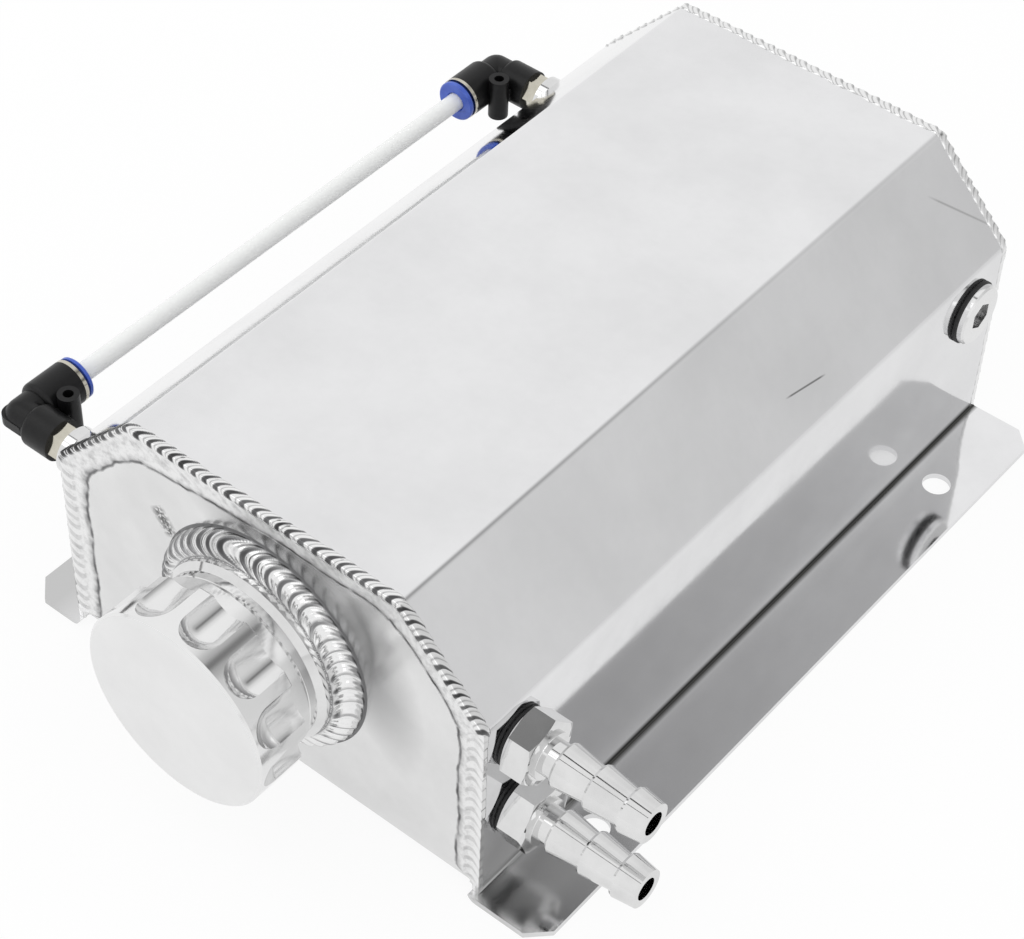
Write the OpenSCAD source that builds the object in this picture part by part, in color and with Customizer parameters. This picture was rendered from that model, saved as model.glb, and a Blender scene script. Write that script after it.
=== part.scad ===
// Coolant expansion tank: one folded aluminium sheet with drilled flanges, closed by a
// floor and two welded end plates, with a screw cap, two hose fittings, a blanking plug
// and a sight gauge between two elbows. The origin is the middle of the four mounting
// holes, on the flanges' underside. X runs across the tank, +Y from the filler end to the
// far end, and +Z up.

/* [Shell] */
// How far the flanges reach from the origin towards the filler end
flange_front = 127.3; // [110:0.1:160]
// How far the sheet reaches from the origin towards the far end
flange_rear = 124.7; // [110:0.1:160]
// How far the walls and the top stop short of the flanges at the filler end
front_relief = 2.3; // [0:0.1:4]
// Width over the side walls
tank_width = 153; // [140:1:190]
// Height of the top panel above the flanges
tank_height = 97.5; // [92:0.5:120]
// Height of the side walls above the flanges, up to the lower fold
side_height = 68; // [67:0.5:74]
// Width of each sloping panel, seen from above
slope_width = 28.5; // [15:0.5:34]
// Thickness of the folded sheet
sheet_thickness = 2; // [1.5:0.1:2.5]
// Outside radius of the folds
fold_radius = 3.5; // [3:0.1:6]
// Radius of the inner corner between a wall and its flange
foot_radius = 0.8; // [0.5:0.1:2]
// Thickness of the end plates
end_thickness = 3; // [2:0.1:4]
// How far the end plates are set back from the ends of the walls
end_recess = 0.4; // [0.1:0.1:2]
// Thickness of the floor
floor_thickness = 2; // [1.5:0.1:4]
// Height of the floor's underside above the flanges' underside
floor_lift = 5; // [3.5:0.1:8]
// Gap between the sheet and the plates that are welded into it
plate_gap = 0.1; // [0.05:0.05:0.3]

/* [Flanges] */
// Distance of the right flange's edge from the origin
flange_right = 100; // [96:0.1:120]
// Distance of the left flange's edge from the origin
flange_left = 94.8; // [94:0.1:120]
// Length of the cut across each corner of the flanges, along each edge
corner_cut = 6; // [3:0.5:9]
// Diameter of the mounting holes
mount_hole_d = 9; // [6:0.5:10]
// Spacing of the mounting holes across the tank
mount_spacing_x = 174; // [172:1:178]
// Spacing of the mounting holes along the tank
mount_spacing_y = 174; // [120:1:190]

/* [Seam welds] */
// Width of the rippled bead on the slopes and the top, from the sheet's end
bead_back = 4.8; // [3.5:0.1:7]
// Width of the rippled bead on the side walls, from the sheet's end
bead_back_side = 2.7; // [1.5:0.1:2.7]
// Width of the rippled bead on the end side, from the sheet's outer face
bead_front = 4.6; // [3.5:0.1:5]
// Height of the bead above the sheet
bead_height = 0.6; // [0.3:0.1:2]
// Spacing of the ripples along the bead
ripple_pitch = 4; // [3:0.1:6]
// How deep the valley between two ripples is, as a share of the bead's height
ripple_depth = 0.5; // [0.1:0.05:0.6]
// Width of the smooth wash inside the bead, along the slopes and the top
wash_width_top = 2.4; // [1.5:0.1:4]
// Width of the wash inside the bead, along the side walls
wash_width_side = 3.2; // [2:0.1:6]
// Height of the wash above the end plate
wash_height = 0.6; // [0.2:0.1:0.8]

/* [Filler neck] */
// Height of the neck's axis above the flanges
neck_height = 49; // [47:0.5:51]
// Outside radius of the neck
neck_radius = 29.2; // [27:0.1:31]
// How far the neck stands out of the end plate
neck_length = 12.4; // [11:0.1:20]
// Radius of the neck's threaded bore
neck_bore = 22; // [18:0.1:23]
// Depth of the step behind the neck's rim
neck_step = 1.8; // [0.5:0.1:2.2]
// Length of the neck behind the step
neck_shoulder = 7.6; // [7:0.1:9]
// Width of the neck's weld on the end plate
neck_bead_width = 7.2; // [4:0.1:8]
// Height of the neck's weld along the neck
neck_bead_height = 6.4; // [4:0.1:6.8]

/* [Cap] */
// Radius of the fluted head
cap_radius = 31.4; // [30:0.1:36]
// Length of the fluted head
cap_head = 17.8; // [14:0.1:26]
// Radius of the plain band behind the head
cap_band_radius = 28; // [26.5:0.1:29]
// Length of the plain band
cap_band = 4.6; // [3:0.1:8]
// Gap between the neck's rim and the cap when it is tight
cap_gap = 0.6; // [0.3:0.1:1]
// Length of the threaded spigot below the cap
cap_spigot = 12.6; // [10:0.1:14]
// Wall of the hollow spigot
spigot_wall = 3.6; // [2.5:0.1:5]
// Thickness of the cap's face over its hollow
cap_face = 5; // [3:0.1:8]
// Number of flutes
flute_count = 12; // [8:1:12]
// Width of a flute
flute_width = 12.4; // [8:0.1:12.6]
// Depth of a flute below the head's radius
flute_depth = 3.3; // [2:0.1:4]
// Length of the plain rim between the face and the flutes
flute_rim = 2; // [1:0.1:5]
// Angle of the first flute, from +X towards +Z
flute_phase = 80; // [0:1:360]
// Thickness of the cap's sealing ring
cap_seal_d = 2.6; // [2:0.1:3]

/* [Wall ports] */
// Distance of the hose fittings from the inner side of the front end plate
hose_inset = 11.8; // [11.1:0.1:30]
// Height of the upper hose fitting above the flanges
port_height = 54; // [48:0.1:54.5]
// Distance between the two hose fittings
hose_spacing = 28.4; // [23:0.1:32]
// Distance of the plug from the inner side of the rear end plate
plug_inset = 12.9; // [11.1:0.1:40]
// Height of the plug above the flanges
plug_height = 52.4; // [48:0.1:54]
// Radius of the thread of the hose fittings
port_thread = 6.55; // [5:0.05:7]
// Length of the threads of the fittings and the plug inside the wall
port_thread_length = 8; // [5:0.5:10]
// Outside radius of the threaded bosses inside the wall
boss_radius = 10.5; // [9.5:0.1:11]
// Length of those bosses
boss_length = 8; // [5:0.5:12]
// Thickness of the sealing washers under the hexagons
port_seal_thickness = 1.4; // [1:0.1:3]
// Width of those washers, from the thread outwards
port_seal_width = 2.7; // [2:0.1:2.8]

/* [Hose fittings] */
// Size across the flats of the hexagon
hose_hex = 19; // [18:0.5:20]
// Turn of the upper fitting's hexagon
upper_hex_turn = -16; // [-30:1:30]
// Turn of the lower fitting's hexagon
lower_hex_turn = 22; // [-30:1:30]
// Thickness of the hexagon
hose_hex_length = 8.2; // [5:0.1:10]
// Radius of the collar in front of the hexagon
hose_collar = 7.2; // [6.8:0.1:7.4]
// Length of that collar
hose_collar_length = 1.2; // [0.5:0.1:3]
// Length of the plain neck in front of the collar
hose_neck_length = 3.6; // [1:0.1:5]
// Radius of a barb's ridge
barb_ridge = 6.8; // [6.2:0.1:8]
// Radius of the narrow end of a barb
barb_root = 5.4; // [5:0.1:6]
// Length of one barb
barb_pitch = 10.8; // [6:0.1:14]
// Number of barbs
barb_count = 3; // [1:1:5]
// Length taken off the last barb at the tip
barb_tip_cut = 3.1; // [0:0.1:4]
// Radius of the bore through the fitting
hose_bore = 3.5; // [2.5:0.1:4.2]

/* [Plug] */
// Radius of the plug's thread
plug_thread = 8.2; // [6:0.05:8.4]
// Thickness of the sealing washer under the plug's head
plug_seal_thickness = 1.6; // [1:0.1:3]
// Width of that washer, from the thread outwards
plug_seal_width = 2.2; // [1.5:0.1:2.4]
// Radius of the plug's head
plug_head = 10; // [9.8:0.1:12]
// Thickness of the plug's head
plug_head_length = 2.1; // [1.5:0.1:6]
// Size across the flats of the plug's hexagon socket
plug_socket = 8; // [5:0.5:9]
// Depth of the socket
plug_socket_depth = 5; // [3:0.5:7]

/* [Sight gauge] */
// Distance of the gauge's near stud from the inner side of the front end plate
gauge_near_inset = 6.2; // [6.2:0.1:30]
// Distance of the gauge's far stud from the inner side of the rear end plate
gauge_far_inset = 24.6; // [6.2:0.1:40]
// Depth of the gauge's studs below the lower fold
gauge_drop = 8.6; // [8.4:0.1:20]
// Distance of the sight tube's axis from the side wall
gauge_reach = 25; // [24:0.1:32]
// Outside radius of the sight tube
tube_radius = 3; // [2.5:0.1:3.2]
// Wall of the sight tube
tube_wall = 1; // [0.5:0.1:1.5]
// Radius of the elbow's tube leg
tube_leg_radius = 7; // [6.5:0.1:8]
// Distance from the elbow's corner to the mouth of its tube leg
tube_leg_length = 17.8; // [17:0.1:24]
// Radius of the elbow's stud leg
stud_leg_radius = 6.7; // [6.2:0.1:7.4]
// Distance from the elbow's corner to the end of its stud leg
stud_leg_length = 15.3; // [14:0.1:17]
// Radius of the elbow's bend between the two legs
bend_radius = 5.6; // [5:0.1:6]
// Distance from the elbow's corner to the shoulders of both legs
shoulder_start = 4.6; // [4:0.1:6]
// Half the thickness of the rib around the outer corner
rib_half = 1.6; // [1:0.1:3]
// Length of the metal ring in the tube leg's mouth
mouth_ring_length = 1.2; // [0.6:0.1:2]
// Radius of the release collar
collar_radius = 6.8; // [6:0.1:7.5]
// Thickness of the release collar's flange
collar_length = 1.3; // [1:0.1:3]
// How far the release collar can be pushed in
collar_travel = 0.7; // [0.4:0.1:1]
// Size across the flats of the stud's hexagon
stud_hex = 10.5; // [10:0.5:12]
// Thickness of the stud's hexagon
stud_hex_length = 5.3; // [4:0.1:6]
// Turn of the hexagon about its axis
stud_hex_turn = 36; // [0:1:60]
// Radius of the stud's thread
stud_thread = 4.85; // [4:0.05:5]
// Outside radius of the threaded bosses that carry the studs, in front of the wall
gauge_boss_radius = 7.4; // [6.2:0.1:7.4]
// Outside radius of those bosses in the wall and behind it
gauge_boss_spigot = 6; // [5.6:0.1:6]
// How far those bosses reach inside the wall
gauge_boss_depth = 7; // [4:0.5:12]
// Radius of the eye in the elbow's inner corner
eye_radius = 3.3; // [2.5:0.1:4]
// Distance of the eye's axis from the tube leg's axis
eye_across = 8.8; // [8:0.1:10]
// Distance of the eye's axis from the stud leg's axis
eye_along = 9.6; // [8:0.1:10]
// Radius of the hole through the eye
eye_bore = 1.6; // [1:0.1:2]
// Height of the eye
eye_height = 14.5; // [10:0.5:16]

/* [Fits] */
// Radial clearance of threads and of parts that slide on each other
fit_clearance = 0.08; // [0.03:0.01:0.1]
// Squeeze taken off each side of a sealing ring
seal_squeeze = 0.15; // [0.05:0.05:0.3]

/* [Hidden] */
$fn = 64;

polished = "gainsboro";
plate_grey = "lightgrey";
weld_grey = "silver";
black_rubber = "#1b1b1c";
black_plastic = "#232324";
collar_blue = "#2f5fc4";
nickel = "#c9c7c0";
clear_tube = "#e8eef0";

half_width = tank_width / 2;
wall_front = front_relief - flange_front;
wall_rear = flange_rear;
front_face = wall_front + end_recess;
rear_face = wall_rear - end_recess;
front_inside = front_face + end_thickness;
rear_inside = rear_face - end_thickness;
flange_top = sheet_thickness;
gauge_z = flange_top + side_height - gauge_drop;
gauge_x = -half_width - gauge_reach;
near_gauge_y = front_inside + gauge_near_inset;
far_gauge_y = rear_inside - gauge_far_inset;
hose_y = front_inside + hose_inset;
upper_hose_z = flange_top + port_height;
lower_hose_z = upper_hose_z - hose_spacing;
plug_y = rear_inside - plug_inset;
plug_z = flange_top + plug_height;
neck_z = flange_top + neck_height;
far_along = 1;
near_along = -1;

// Corners of the sheet's upper face, from the right flange's edge over the top to the left
CORNERS = [[flange_right, flange_top], [half_width, flange_top],
    [half_width, flange_top + side_height], [half_width - slope_width, flange_top + tank_height],
    [slope_width - half_width, flange_top + tank_height], [-half_width, flange_top + side_height],
    [-half_width, flange_top], [-flange_left, flange_top]];
FEET = [1, 6];
fold_steps = 6;

function unit(v) = v / norm(v);
function to_previous(i) = unit(CORNERS[i - 1] - CORNERS[i]);
function to_next(i) = unit(CORNERS[i + 1] - CORNERS[i]);
function half_angle(i) = acos(to_previous(i) * to_next(i)) / 2;
function is_foot(i) = i == FEET[0] || i == FEET[1];

// A corner of the section, moved below the sheet's upper face by an inset
function inset_corner(i, inset) = CORNERS[i]
    + unit(to_previous(i) + to_next(i)) * (is_foot(i) ? -inset : inset) / sin(half_angle(i));

// Points of the arc of one fold, at an inset below the sheet's upper face
function fold_arc(i, inset) =
    let (radius = is_foot(i) ? foot_radius + inset : max(fold_radius - inset, 0.5),
        corner = inset_corner(i, inset),
        reach = radius / tan(half_angle(i)),
        centre = corner + unit(to_previous(i) + to_next(i)) * radius / sin(half_angle(i)),
        first = corner + to_previous(i) * reach - centre,
        last = corner + to_next(i) * reach - centre,
        sweep = 180 - 2 * half_angle(i))
    [for (k = [0:fold_steps])
        centre + (first * sin(sweep * (1 - k / fold_steps)) + last * sin(sweep * k / fold_steps))
            / sin(sweep)];

// The whole section at an inset, from one flange's edge to the other's
function sheet_path(inset) = concat(
    [CORNERS[0] - [0, inset]],
    [for (i = [1:6], p = fold_arc(i, inset)) p],
    [CORNERS[7] - [0, inset]]);

// The arch of the section above a height, at an inset
function arch_path(inset, from_z) = concat(
    [[half_width - inset, from_z]],
    [for (i = [2:5], p = fold_arc(i, inset)) p],
    [[inset - half_width, from_z]]);

function reversed(list) = [for (i = [len(list) - 1:-1:0]) list[i]];

// Lengths along a path, up to each of its points
function running_length(path, i = 0, sum = 0) =
    i == len(path) ? [] :
    let (here = sum + (i == 0 ? 0 : norm(path[i] - path[i - 1])))
    concat([here], running_length(path, i + 1, here));

// The piece of a path on which a length along it falls
function piece_at(lengths, s) = len([for (i = [1:len(lengths) - 2]) if (lengths[i] <= s) i]);

// The point on one piece of the arch, at an inset below the sheet's upper face
function arch_point(inset, piece, share) =
    let (path = arch_path(inset, flange_top))
    path[piece] + (path[piece + 1] - path[piece]) * share;

// Faces of a closed tube of rings that each hold the same number of points
function tube_faces(rings, count, closed) = concat(
    [for (r = [0:rings - (closed ? 1 : 2)], c = [0:count - 1])
        [r * count + c,
            ((r + 1) % rings) * count + c,
            ((r + 1) % rings) * count + (c + 1) % count,
            r * count + (c + 1) % count]],
    closed ? [] : [[for (c = [0:count - 1]) c]],
    closed ? [] : [[for (c = [count - 1:-1:0]) (rings - 1) * count + c]]);

// Height of the ripple at a station, as a share of the bead's height
function ripple(station) = station % 2 == 0 ? 1 - ripple_depth : 1;

// 1 low on the walls, 0 at the lower fold and above
function wall_share(z) = min(max((side_height - z) / (2 * bead_front), 0), 1);

// 0 at the flanges, 1 where the end plate is reached
function plate_share(z) = min(max((z - flange_top) / floor_lift, 0), 1);

// A cylinder whose axis runs along +X from a point
module along_x(x, y, z, r, length) {
    translate([x, y, z]) rotate([0, 90, 0]) cylinder(r = r, h = length);
}

// A plate with the outline of the arch, upright across the tank
module end_plate(from_y) {
    translate([0, from_y + end_thickness, 0])
        rotate([90, 0, 0])
            linear_extrude(end_thickness)
                polygon(arch_path(sheet_thickness + plate_gap, floor_lift));
}

// The folded sheet: both flanges, both walls, both slopes and the top in one piece
module shell() {
    color(polished)
    difference() {
        translate([0, flange_rear, 0])
            rotate([90, 0, 0])
                linear_extrude(flange_front + flange_rear)
                    polygon(concat(sheet_path(0), reversed(sheet_path(sheet_thickness))));
        translate([-half_width - 1, wall_front - flange_front, flange_top])
            cube([tank_width + 2, flange_front, tank_height]);
        for (x = [-mount_spacing_x / 2, mount_spacing_x / 2])
            for (y = [-mount_spacing_y / 2, mount_spacing_y / 2])
                translate([x, y, -1])
                    cylinder(d = mount_hole_d, h = sheet_thickness + 2);
        for (x = [-flange_left, flange_right])
            for (y = [-flange_front, flange_rear])
                translate([x, y, sheet_thickness / 2])
                    rotate(45)
                        cube([corner_cut * sqrt(2), corner_cut * sqrt(2), sheet_thickness + 2],
                            center = true);
        for (z = [upper_hose_z, lower_hose_z])
            port_hole(hose_y, z, port_thread);
        port_hole(plug_y, plug_z, plug_thread);
        for (y = [near_gauge_y, far_gauge_y])
            along_x(-half_width - 1, y, gauge_z, gauge_boss_spigot + plate_gap, sheet_thickness + 2);
    }
}

// The hole of a threaded port through the right wall
module port_hole(y, z, thread) {
    along_x(half_width - sheet_thickness - 1, y, z, thread + fit_clearance, sheet_thickness + 2);
}

// The floor between the walls and the end plates
module floor_plate() {
    x = half_width - sheet_thickness - plate_gap;
    color(polished)
    translate([-x, front_inside + plate_gap, floor_lift])
        cube([2 * x, rear_inside - front_inside - 2 * plate_gap, floor_thickness]);
}

// The end plate that carries the filler neck
module front_end_plate() {
    color(plate_grey)
    difference() {
        end_plate(front_face);
        translate([0, front_face - 1, neck_z])
            rotate([-90, 0, 0])
                cylinder(r = neck_radius, h = end_thickness + 2);
    }
}

// The plain end plate at the far end
module rear_end_plate() {
    color(plate_grey)
    end_plate(rear_inside);
}

// The bead that closes the shell along one end: a rippled crown over the corner of the
// sheet's end, and a smooth wash that runs in over the end plate
module seam_weld(wall_end, along) {
    lengths = running_length(arch_path(0, flange_top));
    total = lengths[len(lengths) - 1];
    stations = 2 * floor(total / ripple_pitch) + 1;
    root = 0.3;
    sunk = -end_recess - root;
    points = [for (k = [0:stations - 1])
        let (s = total * k / (stations - 1),
            piece = piece_at(lengths, s),
            share = (s - lengths[piece]) / (lengths[piece + 1] - lengths[piece]),
            z = arch_point(0, piece, share).y,
            wall = wall_share(z - flange_top),
            plate = plate_share(z),
            back = bead_back + (bead_back_side - bead_back) * wall,
            wash = (wash_width_top + (wash_width_side - wash_width_top) * wall) * plate,
            front = sheet_thickness + root + (bead_front - sheet_thickness - root) * plate,
            h = bead_height * ripple(k),
            low = wash_height - end_recess,
            profile = [[root, -back], [-0.65 * h, -0.72 * back], [-h, -0.3 * back],
                [-0.6 * h, 0.2 * h], [0.4 * front, 0.8 * h], [front, low],
                [front + 0.8 * wash + 0.5 * root, low - 0.2], [front + wash + root, sunk],
                [sheet_thickness + root, sunk], [root, -root]])
        for (p = profile)
            let (across = arch_point(p[0], piece, share))
            [across.x, wall_end + along * p[1], across.y]];
    faces = tube_faces(stations, 10, false);
    color(weld_grey)
    polyhedron(points, along > 0 ? [for (f = faces) reversed(f)] : faces);
}

module front_seam_weld() {
    seam_weld(wall_front, near_along);
}

module rear_seam_weld() {
    seam_weld(wall_rear, far_along);
}

// Turns a shape drawn around +Z into the neck's axis, with +Z pointing out of the tank
module at_neck() {
    translate([0, front_face, neck_z])
        rotate([90, 0, 0])
            children();
}

// The turned neck, welded through the end plate
module filler_neck() {
    lip = neck_radius - neck_step;
    edge = 0.6;
    color(polished)
    at_neck()
        rotate_extrude()
            polygon([[neck_bore, -end_thickness], [neck_radius, -end_thickness],
                [neck_radius, neck_shoulder], [lip, neck_shoulder + neck_step],
                [lip, neck_length - edge], [lip - edge, neck_length],
                [neck_bore + edge, neck_length], [neck_bore, neck_length - edge]]);
}

// The rippled fillet weld around the neck
module filler_neck_weld() {
    around = 2 * PI * (neck_radius + neck_bead_width / 2);
    stations = 2 * floor(around / ripple_pitch);
    points = [for (k = [0:stations - 1])
        let (angle = 360 * k / stations,
            h = 1 - 0.35 * ripple_depth * (1 - k % 2),
            w = neck_bead_width,
            t = neck_bead_height,
            profile = [[-0.5, t], [0.32 * w * h, 0.94 * t * h], [0.66 * w * h, 0.66 * t * h],
                [0.92 * w * h, 0.28 * t * h], [w, -0.3], [-0.5, -0.3]])
        for (p = profile)
            [(neck_radius + p[0]) * cos(angle), (neck_radius + p[0]) * sin(angle), p[1]]];
    color(weld_grey)
    at_neck()
        polyhedron(points, tube_faces(stations, 6, true));
}

cap_seat = neck_length + cap_gap;
cap_top = cap_seat + cap_band + cap_head;
seal_middle = (neck_bore + neck_radius - neck_step) / 2;
seal_top = neck_length + cap_seal_d - 2 * seal_squeeze;
seal_half = cap_seal_d / 2;

// The billet cap: a fluted head, a plain band and a hollow threaded spigot
module filler_cap() {
    spigot = neck_bore - fit_clearance;
    hollow = spigot - spigot_wall;
    edge = 0.6;
    color(polished)
    at_neck()
        difference() {
            rotate_extrude()
                difference() {
                    polygon([[0, cap_seat - cap_spigot], [spigot - edge, cap_seat - cap_spigot],
                        [spigot, cap_seat - cap_spigot + edge], [spigot, cap_seat],
                        [cap_band_radius, cap_seat], [cap_band_radius, cap_seat + cap_band],
                        [cap_radius - edge, cap_seat + cap_band],
                        [cap_radius, cap_seat + cap_band + edge],
                        [cap_radius, cap_top - edge], [cap_radius - edge, cap_top], [0, cap_top]]);
                    translate([-1, cap_seat - cap_spigot - 1])
                        square([hollow + 1, cap_spigot + 1 + cap_top - cap_seat - cap_face]);
                    translate([seal_middle - seal_half - fit_clearance, cap_seat - 1])
                        square([cap_seal_d + 2 * fit_clearance, seal_top - cap_seat + 1]);
                }
            for (k = [0:flute_count - 1])
                rotate(flute_phase + k * 360 / flute_count)
                    translate([flute_floor + flute_round, 0, 0])
                        flute();
        }
}

// Distance of a flute's deepest line from the cap's axis, and the radius of its hollow: the
// arc that is as wide as the flute where it meets the head
flute_floor = max(cap_radius - flute_depth, cap_band_radius + 0.1);
flute_brink = sqrt(cap_radius ^ 2 - (flute_width / 2) ^ 2);
flute_sag = flute_brink - flute_floor;
flute_round = (flute_sag ^ 2 + (flute_width / 2) ^ 2) / (2 * flute_sag);

// The cutter of one flute: a round bar with a ball end towards the cap's face
module flute() {
    start_z = cap_seat + cap_band - 0.5;
    end_z = cap_top - flute_rim - flute_width / 2;
    rotate_extrude() {
        translate([0, start_z])
            square([flute_round, end_z - start_z]);
        translate([0, end_z])
            intersection() {
                circle(r = flute_round);
                square(flute_round);
            }
    }
}

// A sealing ring around +Z, squeezed flat between two faces
module sealing_ring(middle, thickness, bottom) {
    flat = thickness - 2 * seal_squeeze;
    translate([0, 0, bottom])
        rotate_extrude()
            intersection() {
                translate([middle, flat / 2])
                    circle(d = thickness, $fn = 32);
                translate([middle - thickness, 0])
                    square([2 * thickness, flat]);
            }
}

// The ring that seals the cap on the neck's rim
module cap_seal() {
    color(black_rubber)
    at_neck()
        sealing_ring(seal_middle, cap_seal_d, neck_length);
}

// The black washer between the wall and a hexagon or the plug's head
module port_seal(y, z, thread, width, thickness) {
    inner = thread + fit_clearance;
    outer = inner + width;
    edge = thickness / 4;
    color(black_rubber)
    translate([half_width, y, z])
        rotate([0, 90, 0])
            rotate_extrude()
                polygon([[inner, 0], [outer - edge, 0], [outer, edge], [outer, thickness - edge],
                    [outer - edge, thickness], [inner, thickness]]);
}

// The threaded boss inside the wall
module port_boss(y, z, thread) {
    color(plate_grey)
    difference() {
        along_x(half_width - sheet_thickness - boss_length, y, z, boss_radius, boss_length);
        along_x(half_width - sheet_thickness - boss_length - 1, y, z, thread + fit_clearance,
            boss_length + 2);
    }
}

// A turned hose fitting: thread, collar, neck and barbs in one profile on one bore, and the
// hexagon around it
module hose_fitting(z, hex_turn) {
    shank = sheet_thickness + port_thread_length;
    hex_top = port_seal_thickness + hose_hex_length;
    collar_top = hex_top + hose_collar_length;
    barbs = collar_top + hose_neck_length;
    tip = barbs + barb_count * barb_pitch - barb_tip_cut;
    corner = hose_hex / cos(30) / 2;
    color(polished)
    translate([half_width, hose_y, z])
        rotate([0, 90, 0])
            difference() {
                union() {
                    rotate_extrude()
                        polygon(concat(
                            [[0, tip], [0, -shank], [port_thread, -shank],
                                [port_thread, port_seal_thickness],
                                [hose_collar, port_seal_thickness], [hose_collar, collar_top],
                                [barb_root, collar_top]],
                            [for (k = [0:barb_count - 1])
                                each barb(barbs + k * barb_pitch,
                                    k == barb_count - 1 ? barb_pitch - barb_tip_cut : barb_pitch)]));
                    intersection() {
                        translate([0, 0, port_seal_thickness])
                            rotate(hex_turn)
                                cylinder(r = corner, h = hose_hex_length, $fn = 6);
                        translate([0, 0, port_seal_thickness])
                            hex_chamfers(corner, hose_hex_length);
                    }
                }
                translate([0, 0, -shank - 1])
                    cylinder(r = hose_bore, h = shank + tip + 2);
            }
}

// Profile of one barb: a rounded ridge towards the hexagon that narrows towards the tip
function barb(start, length) =
    let (lead = (barb_ridge - barb_root) * 0.7,
        slope = (barb_ridge - barb_root) / barb_pitch)
    [[barb_root, start], [barb_ridge - 0.3 * lead, start + 0.3 * lead], [barb_ridge, start + lead],
        [barb_ridge - slope * (length - lead), start + length]];

// The turned form that takes the sharp corners off both faces of a hexagon
module hex_chamfers(corner, length) {
    wide = 1.2 * corner;
    face = 0.87 * corner;
    rise = 0.4;
    rotate_extrude()
        polygon([[0, 0], [face, 0], [wide, rise * (wide - face)],
            [wide, length - rise * (wide - face)], [face, length], [0, length]]);
}

module upper_hose_fitting() {
    hose_fitting(upper_hose_z, upper_hex_turn);
}

module lower_hose_fitting() {
    hose_fitting(lower_hose_z, lower_hex_turn);
}

module upper_hose_seal() {
    port_seal(hose_y, upper_hose_z, port_thread, port_seal_width, port_seal_thickness);
}

module lower_hose_seal() {
    port_seal(hose_y, lower_hose_z, port_thread, port_seal_width, port_seal_thickness);
}

module upper_hose_boss() {
    port_boss(hose_y, upper_hose_z, port_thread);
}

module lower_hose_boss() {
    port_boss(hose_y, lower_hose_z, port_thread);
}

module plug_seal() {
    port_seal(plug_y, plug_z, plug_thread, plug_seal_width, plug_seal_thickness);
}

module plug_boss() {
    port_boss(plug_y, plug_z, plug_thread);
}

// The plug: a turned head with a hexagon socket, on a short thread
module blanking_plug() {
    shank = sheet_thickness + port_thread_length;
    head_top = plug_seal_thickness + plug_head_length;
    edge = 0.6;
    color(polished)
    translate([half_width, plug_y, plug_z])
        rotate([0, 90, 0])
            difference() {
                rotate_extrude()
                    polygon([[0, -shank], [plug_thread, -shank], [plug_thread, plug_seal_thickness],
                        [plug_head, plug_seal_thickness], [plug_head, head_top - edge],
                        [plug_head - edge, head_top], [0, head_top]]);
                translate([0, 0, head_top - plug_socket_depth])
                    cylinder(d = plug_socket / cos(30), h = plug_socket_depth + 1, $fn = 6);
            }
}

// Places an elbow's parts: its corner at the origin, its tube leg along +Y towards the
// other elbow, and its stud leg along +X towards the wall
module at_near_elbow() {
    translate([gauge_x, near_gauge_y, gauge_z])
        children();
}

module at_far_elbow() {
    translate([gauge_x, far_gauge_y, gauge_z])
        mirror([0, 1, 0])
            children();
}

// A turned shape around the tube leg's axis
module on_tube_leg(from) {
    translate([0, from, 0])
        rotate([-90, 0, 0])
            children();
}

socket_start = 5;
seal_start = 9.4;
tube_seal_length = 1.8;
grab_start = seal_start + tube_seal_length;
grab_length = 0.6;
chamber_radius = tube_radius + 1.8;
mouth_end = tube_leg_length + mouth_ring_length;
collar_gap = collar_travel + 0.2;
collar_start = grab_start + grab_length + collar_gap;
collar_end = mouth_end + collar_gap + collar_length;
passage = tube_radius - tube_wall;
stud_tail = 9;
stud_tail_radius = 4.2;

// One leg of an elbow, from its rounded shoulder to its end, drawn along +Z
module leg(radius, length) {
    round = radius - bend_radius + 0.5;
    rotate_extrude()
        difference() {
            translate([0, shoulder_start])
                square([radius, length - shoulder_start]);
            difference() {
                translate([radius - round, shoulder_start - 1])
                    square([round + 1, round + 1]);
                translate([radius - round, shoulder_start + round])
                    circle(r = round, $fn = 48);
            }
        }
}

// The black body of an elbow: a round bend with a rib outside it, a leg for the tube, a leg
// for the stud, and an eye on webs in the inner corner
module elbow_body() {
    web = 2.2;
    color(black_plastic)
    difference() {
        union() {
            on_tube_leg(0)
                leg(tube_leg_radius, tube_leg_length);
            rotate([0, 90, 0])
                leg(stud_leg_radius, stud_leg_length);
            sphere(r = bend_radius);
            on_tube_leg(0)
                cylinder(r = bend_radius, h = 2 * shoulder_start);
            rotate([0, 90, 0])
                cylinder(r = bend_radius, h = 2 * shoulder_start);
            translate([0, 0, -rib_half])
                linear_extrude(2 * rib_half)
                    corner_rib();
            translate([0, 0, -web])
                linear_extrude(2 * web)
                    polygon([[0, 0], [stud_leg_length - 2, 0], [eye_across + 2, eye_along - 1],
                        [eye_across - 1, eye_along + 2], [0, tube_leg_length - 2]]);
            translate([eye_across, eye_along, -eye_height / 2])
                cylinder(r = eye_radius, h = eye_height);
        }
        translate([eye_across, eye_along, -eye_height / 2 - 1])
            cylinder(r = eye_bore, h = eye_height + 2);
        on_tube_leg(seal_start)
            cylinder(r = chamber_radius, h = tube_leg_length);
        on_tube_leg(socket_start)
            cylinder(r = tube_radius + fit_clearance, h = tube_leg_length);
        on_tube_leg(0)
            cylinder(r = passage, h = tube_leg_length);
        rotate([0, 90, 0])
            cylinder(r = passage, h = stud_leg_length + 1);
        translate([stud_leg_length - stud_tail, 0, 0])
            rotate([0, 90, 0])
                cylinder(r = stud_tail_radius, h = stud_tail + 1);
    }
}

// The outline of the rib around an elbow's outer corner
module corner_rib() {
    round = 3.8;
    translate([round - bend_radius, round - bend_radius])
        circle(r = round, $fn = 48);
    translate([-bend_radius, round - bend_radius])
        square([bend_radius, bend_radius]);
    translate([round - bend_radius, -bend_radius])
        square([bend_radius, bend_radius]);
}

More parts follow.
